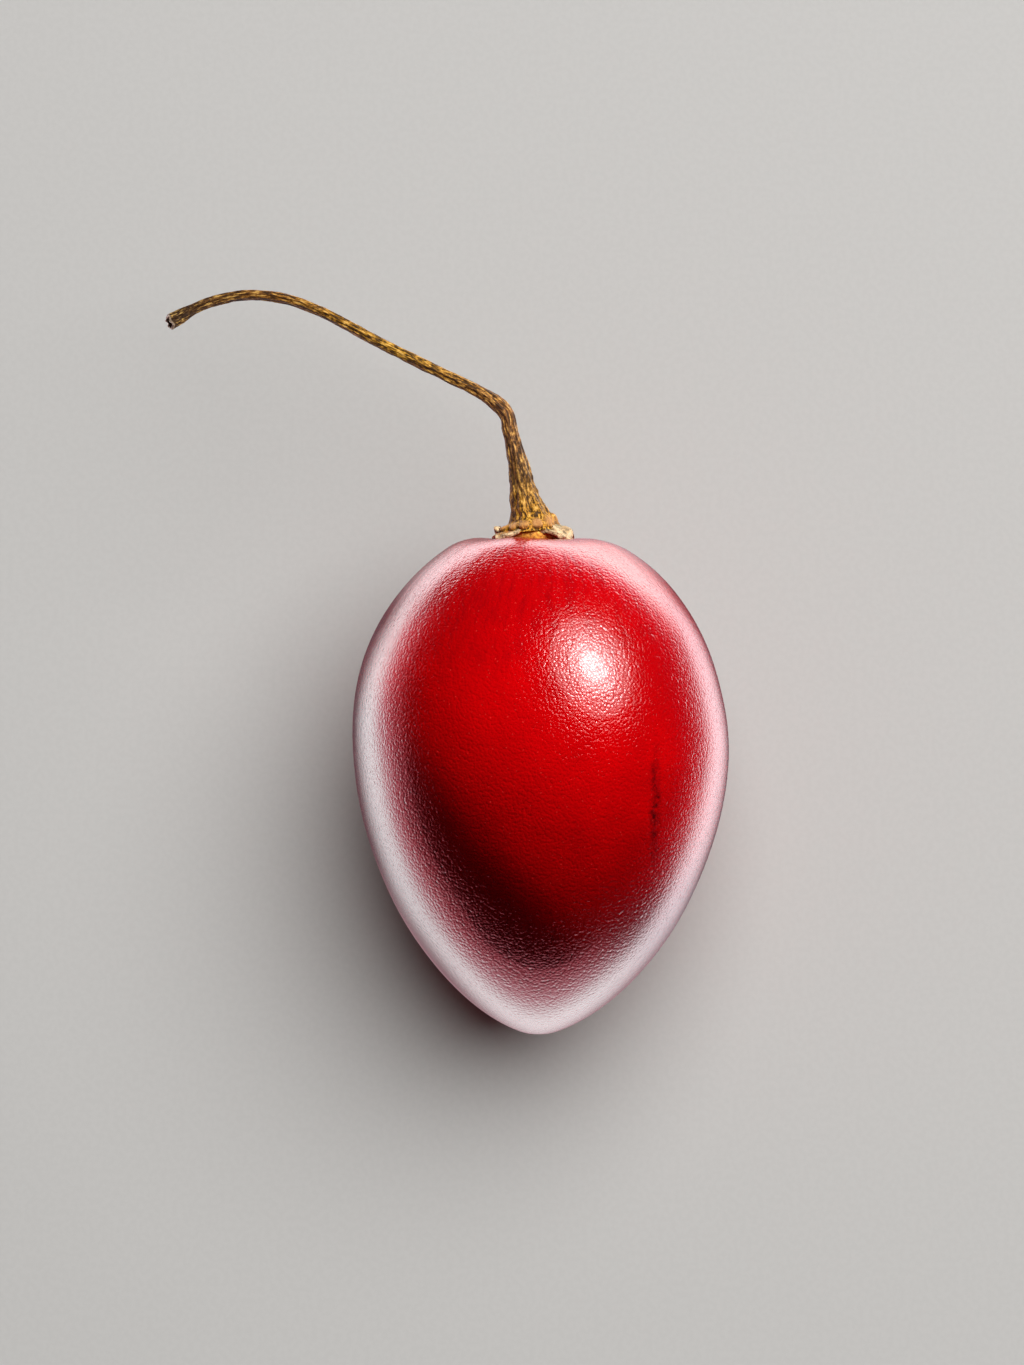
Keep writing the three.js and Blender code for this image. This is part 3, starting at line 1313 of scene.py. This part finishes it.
@dataclass(frozen=True)
class Calyx:
    """The five dried lobes round the stem's foot."""

    centre: tuple[float, float, float] = (-1.3, 26.8, 0.0)  # mm
    root_radius: float = 2.7
    thickness: float = 0.6
    tip_share: float = 0.75
    steps: int = 16
    lobes: tuple[LobeShape, ...] = (
        LobeShape(8, 3.2, 2.1, 1.75, -0.22, 0.6, -110, 0.0, 1.6, 0.14, bleach=0.5),
        LobeShape(40, 2.8, 1.8, 1.0, -0.3, 0.4, -60, 0.5, 0.3, 0.2),
        LobeShape(146, 3.0, 2.3, 1.2, -0.42, 0.4, -60, -0.2, 0.5, 0.3),
        LobeShape(186, 2.75, 1.9, 0.35, 0.05, 0.85, 115, 0.0, -0.6, 0.15),
        LobeShape(280, 3.4, 1.9, 1.6, -0.2, 0.5, 90, 0.1, 0.3, 0.2),
    )

    def build(self, number: int, resting: Matrix) -> bpy.types.Object:
        """Models one lobe from a grid that is bent, rolled at its end and thickened.

        Args:
            number: Which lobe, from 1.
            resting: The fruit's own frame.

        Returns:
            The lobe's mesh object, with the attribute that bleaches its edge.
        """
        shape = self.lobes[number - 1]
        deselect_all()
        bpy.ops.mesh.primitive_grid_add(x_subdivisions=self.steps, y_subdivisions=self.steps, size=2)
        piece = name_new(f"dried_calyx_lobe_{number}")
        margin = piece.data.attributes.new("margin", "FLOAT", "POINT")
        for vertex, edge in zip(piece.data.vertices, margin.data):
            along, across = (vertex.co.x + 1) / 2, vertex.co.y
            edge.value = max(abs(across) ** 4, smooth_step(along, 0.7, 1.0)) + shape.bleach
            vertex.co = self.leaf_point(shape, along, across, number)
        piece.data.update()
        apply_modifier(piece, "SOLIDIFY", thickness=self.thickness, offset=0.0)
        apply_modifier(piece, "SUBSURF", levels=2, render_levels=2)

        spin = Matrix.Rotation(-math.radians(shape.turn), 4, "Y")
        place = resting @ Matrix.Translation(Vector(self.centre)) @ spin

        def shrivelled(point: Vector) -> Vector:
            """Roughens a point of the lobe and puts it in its place."""
            rough = noise.noise_vector(point * 1.3 + Vector((0, 9 * number, 0))) * 0.12
            fine = noise.noise_vector(point * 3.5 + Vector((0, 9 * number, 0))) * 0.05
            return place @ (point + rough + fine)

        move_vertices(piece, shrivelled)
        return piece

    def leaf_point(self, shape: LobeShape, along: float, across: float, number: int) -> Vector:
        """Finds a point of a lobe before it is thickened.

        Args:
            shape: The lobe's own shape.
            along: From 0 at the root to 1 at the end.
            across: From -1 to 1 between the lobe's edges.
            number: Which lobe, from 1.

        Returns:
            The point in millimetres: X away from the stem, Y up along it.
        """
        travelled = shape.reach * along * (1 - 0.18 * across**2)
        bend = math.radians(abs(shape.roll_turn))
        straight = max(0.2, shape.reach - shape.roll * bend)
        rolled = min(bend, max(0.0, travelled - straight) / shape.roll)
        flat = min(travelled, straight)
        curl = math.copysign(1 - math.cos(rolled), shape.roll_turn)
        out = self.root_radius + flat + shape.roll * math.sin(rolled)
        rise = shape.root_height + shape.slope * flat + shape.roll * curl
        rise += shape.wave * math.sin(5 * across + 2 * number) * along
        rise += (shape.lean * across - shape.cup * across**2) * min(1.0, 1.6 * along)
        width = shape.half_width * (1 + (self.tip_share - 1) * along**2)
        return Vector((out, rise, width * across))


# ---------------------------------------------------------------------------------------------------
# Studio
# ---------------------------------------------------------------------------------------------------


class Receiver(Enum):
    """What a lamp's light falls on."""

    TAMARILLO = "tamarillo"
    FLOOR = "floor"


@dataclass(frozen=True)
class Lamp:
    """A round softbox."""

    name: str
    aim: tuple[float, float, float]  # where it is from the fruit, in the fruit's own frame
    distance: float  # m
    diameter: float  # m
    power: float  # W
    receiver: Receiver = Receiver.TAMARILLO
    is_gloss_only: bool = False  # only its reflection shows; the other lamps have none

    def build(self, resting: Matrix, receivers: dict[Receiver, bpy.types.Collection]) -> None:
        """Adds the lamp.

        Args:
            resting: The fruit's own frame.
            receivers: The objects that each kind of lamp lights.
        """
        aim = (resting.to_3x3() @ Vector(self.aim)).normalized()
        deselect_all()
        bpy.ops.object.light_add(type="AREA")
        lamp = bpy.context.object
        lamp.name = self.name
        lamp.data.shape = "DISK"
        lamp.data.size = self.diameter
        lamp.data.energy = self.power
        lamp.location = resting.to_translation() + aim * self.distance
        lamp.rotation_mode = "QUATERNION"
        lamp.rotation_quaternion = aim.to_track_quat("Z", "Y")
        lamp.visible_camera = False
        lamp.visible_diffuse = not self.is_gloss_only
        lamp.visible_glossy = self.is_gloss_only
        lamp.light_linking.receiver_collection = receivers[self.receiver]


@dataclass(frozen=True)
class RimGlow:
    """A glowing panel low round the fruit that shows only as the bright edge of its gloss.

    Its colour depends on how far out a place is, as a share of the distance to a rounded oblong round
    the fruit.
    """

    size: float = 2.4  # m
    middle: tuple[float, float] = (-0.004, 0.016)  # m, from the fruit's middle
    reach: tuple[float, float] = (0.068, 0.088)  # m, from the middle to the oblong
    squareness: float = 2.5  # 2 is an ellipse
    strength: float = 6.0
    farthest: float = 4.0  # shares of the distance to the oblong
    crown_bearing: tuple[float, float] = (0.3, 0.8)  # Y of the bearings where the crown's glow takes over
    right_bearing: tuple[float, float] = (-0.4, 0.4)  # X, for the right side's
    tip_bearing: tuple[float, float] = (-0.7, -1.0)  # Y, for the tip's
    height: float = 0.2  # mm, above the floor
    # Where each side starts to glow, is brightest, has faded and ends, with its colours there.
    left: tuple[tuple[float, str], ...] = (
        (0.46, "#302024"),
        (4.0, "#a03c46"),
        (1.0, "#ece6e8"),
        (1.7, "#dc8894"),
        (2.4, "#d05c68"),
    )
    right: tuple[tuple[float, str], ...] = (
        (0.5, "#282024"),
        (4.0, "#140008"),
        (0.95, "#d8d0d6"),
        (1.55, "#5c3844"),
        (2.4, "#281018"),
    )
    left_crown: tuple[tuple[float, str], ...] = (
        (0.25, "#3c3434"),
        (4.0, "#000000"),
        (0.85, "#f0e6ea"),
        (1.3, "#502c3c"),
        (1.8, "#180810"),
    )
    right_crown: tuple[tuple[float, str], ...] = (
        (0.25, "#504c50"),
        (4.0, "#140814"),
        (1.2, "#ffffff"),
        (2.4, "#6c5c7c"),
        (3.2, "#280c28"),
    )
    tip: tuple[tuple[float, str], ...] = (
        (0.6, "#503c40"),
        (4.0, "#c65664"),
        (1.0, "#fff4f6"),
        (1.6, "#e49ca8"),
        (2.4, "#d07480"),
    )

    def material(self) -> bpy.types.Material:
        """Makes the glow's material.

        Returns:
            An emission whose colour follows the five sides.
        """
        made = bpy.data.materials.new("rim_glow")
        made.use_nodes = True
        tree = made.node_tree
        tree.nodes.clear()
        coords = add_node(tree, "ShaderNodeTexCoord")
        placed = add_node(
            tree,
            "ShaderNodeMapping",
            {"Vector": coords.outputs["Object"], "Scale": (*self.reach, 1.0)},
            vector_type="TEXTURE",
        ).outputs[0]
        sizes = add_node(tree, "ShaderNodeVectorMath", {0: placed}, operation="ABSOLUTE")
        parts = add_node(tree, "ShaderNodeSeparateXYZ", {"Vector": sizes.outputs[0]})
        across, along = (
            add_node(
                tree,
                "ShaderNodeMath",
                {0: parts.outputs[axis], 1: self.squareness},
                operation="POWER",
            )
            for axis in "XY"
        )
        total = add_node(
            tree, "ShaderNodeMath", {0: across.outputs[0], 1: along.outputs[0]}, operation="ADD"
        )
        distance = add_node(
            tree,
            "ShaderNodeMath",
            {0: total.outputs[0], 1: 1 / self.squareness},
            operation="POWER",
        )
        share = add_node(
            tree, "ShaderNodeMapRange", {"Value": distance.outputs[0], "From Max": self.farthest}
        ).outputs[0]
        outward = add_node(
            tree, "ShaderNodeVectorMath", {0: placed, 1: distance.outputs[0]}, operation="DIVIDE"
        )
        bearing = add_node(tree, "ShaderNodeSeparateXYZ", {"Vector": outward.outputs[0]})

        tones = {}
        for side in ("left", "right", "left_crown", "right_crown", "tip"):
            stops = [(far / self.farthest, tone) for far, tone in getattr(self, side)]
            ramp = add_node(tree, "ShaderNodeValToRGB", {"Fac": share}, stops=stops)
            ramp.color_ramp.interpolation = "EASE"
            tones[side] = ramp.outputs["Color"]
        for side, under, axis, (start, full) in (
            ("left_crown", "left", "Y", self.crown_bearing),
            ("right_crown", "right", "Y", self.crown_bearing),
            ("right", "left", "X", self.right_bearing),
            ("tip", "left", "Y", self.tip_bearing),
        ):
            there = add_node(
                tree,
                "ShaderNodeMapRange",
                {"Value": bearing.outputs[axis], "From Min": start, "From Max": full},
                interpolation_type="SMOOTHSTEP",
            )
            tones[under] = add_node(
                tree,
                "ShaderNodeMix",
                {FACTOR: there.outputs[0], UNDER: tones[under], OVER: tones[side]},
                data_type="RGBA",
            ).outputs[MIXED]
        glow = add_node(tree, "ShaderNodeEmission", {"Color": tones["left"], "Strength": self.strength})
        add_node(tree, "ShaderNodeOutputMaterial", {"Surface": glow.outputs["Emission"]})
        return made

    def build(self, resting: Matrix) -> None:
        """Adds the panel.

        Args:
            resting: The fruit's own frame.
        """
        deselect_all()
        bpy.ops.mesh.primitive_plane_add(size=self.size)
        panel = name_new("rim_glow_panel")
        centre = resting.to_translation()
        panel.location = (centre.x + self.middle[0], centre.y + self.middle[1], self.height * MM)
        panel.data.materials.append(self.material())
        panel.visible_camera = False
        panel.visible_diffuse = False
        panel.visible_transmission = False
        panel.visible_shadow = False


@dataclass(frozen=True)
class Studio:
    """A pale floor, soft lamps and the camera."""

    floor_size: float = 1.8  # m
    lamps: tuple[Lamp, ...] = (
        Lamp("key_softbox", (0.32, 0.695, 0.643), 0.165, 0.08, 0.41),
        Lamp("floor_softbox", (0.3, 0.5, 0.9), 1.2, 1.4, 21.0, Receiver.FLOOR),
        *(
            Lamp(f"highlight_{name}", (0.51, 0.56, 0.66), 0.6, diameter, power, is_gloss_only=True)
            for name, diameter, power in (("core", 0.14, 1.7), ("ring", 0.26, 1.9), ("halo", 0.5, 2.0))
        ),
    )
    air: str = "#1e1e20"
    backdrop: str = "#c4c2bf"
    focal_length: float = 120.0  # mm
    sensor: float = 36.0  # mm, along the picture's long side
    picture_height: float = 182.0  # mm, at the fruit's middle
    picture_middle: tuple[float, float] = (-3.9, 7.67)  # mm, in the fruit's own frame

    def add_floor(self) -> bpy.types.Object:
        """Adds the floor and returns it."""
        deselect_all()
        bpy.ops.mesh.primitive_plane_add(size=self.floor_size)
        floor = name_new("pale_floor")
        floor.data.materials.append(MattPaint().material())
        floor.visible_glossy = False
        return floor

    def add_air(self) -> None:
        """Adds the weak even light of the room, in front of a pale backdrop."""
        world = bpy.data.worlds.new("room")
        bpy.context.scene.world = world
        world.use_nodes = True
        tree = world.node_tree
        tree.nodes.clear()
        rays = add_node(tree, "ShaderNodeLightPath")
        seen = add_node(
            tree,
            "ShaderNodeMix",
            {
                FACTOR: rays.outputs["Is Camera Ray"],
                UNDER: linear(self.air),
                OVER: linear(self.backdrop),
            },
            data_type="RGBA",
        )
        light = add_node(tree, "ShaderNodeBackground", {"Color": seen.outputs[MIXED]})
        add_node(tree, "ShaderNodeOutputWorld", {"Surface": light.outputs["Background"]})
        world.cycles_visibility.glossy = False

    def add_camera(self, resting: Matrix) -> None:
        """Adds the camera, looking down square to the fruit's axis.

        Args:
            resting: The fruit's own frame.
        """
        distance = self.picture_height * self.focal_length / self.sensor
        data = bpy.data.cameras.new("camera")
        data.lens = self.focal_length
        data.sensor_width = self.sensor
        camera = bpy.data.objects.new("camera", data)
        bpy.context.scene.collection.objects.link(camera)
        camera.location = resting @ Vector((*self.picture_middle, distance))
        camera.rotation_mode = "QUATERNION"
        camera.rotation_quaternion = resting.to_quaternion()
        bpy.context.scene.camera = camera

    def build(self, resting: Matrix, pieces: list[bpy.types.Object]) -> None:
        """Adds the whole studio.

        Args:
            resting: The fruit's own frame.
            pieces: The tamarillo's pieces.
        """
        receivers = {}
        for receiver, lit in ((Receiver.TAMARILLO, pieces), (Receiver.FLOOR, [self.add_floor()])):
            receivers[receiver] = bpy.data.collections.new(f"light_on_{receiver.value}")
            for piece in lit:
                receivers[receiver].objects.link(piece)
        for lamp in self.lamps:
            lamp.build(resting, receivers)
        RimGlow().build(resting)
        self.add_air()
        self.add_camera(resting)
        bpy.context.scene.view_settings.view_transform = "Standard"


def main() -> None:
    """Builds the tamarillo and its studio."""
    logging.basicConfig(level=logging.INFO, format="%(message)s")
    noise.seed_set(NOISE_SEED)
    fruit = Fruit()
    resting = fruit.resting()
    stem = Stem()
    bark = DryBark(stem.route.frames([0.0])[1])
    pieces = [
        hand_over(fruit.build(resting), "fruit", WaxySkin(resting).material()),
        hand_over(CorkyPad().build(resting), "corky_pad", Cork().material()),
        hand_over(stem.build(resting), "stem", bark.material()),
    ]
    calyx = Calyx()
    leaf = DryLeaf().material()
    for number in range(1, len(calyx.lobes) + 1):
        lobe = calyx.build(number, resting)
        pieces.append(hand_over(lobe, f"calyx_lobe_{number}", leaf))
    Studio().build(resting, pieces)


if __name__ == "__main__":
    main()
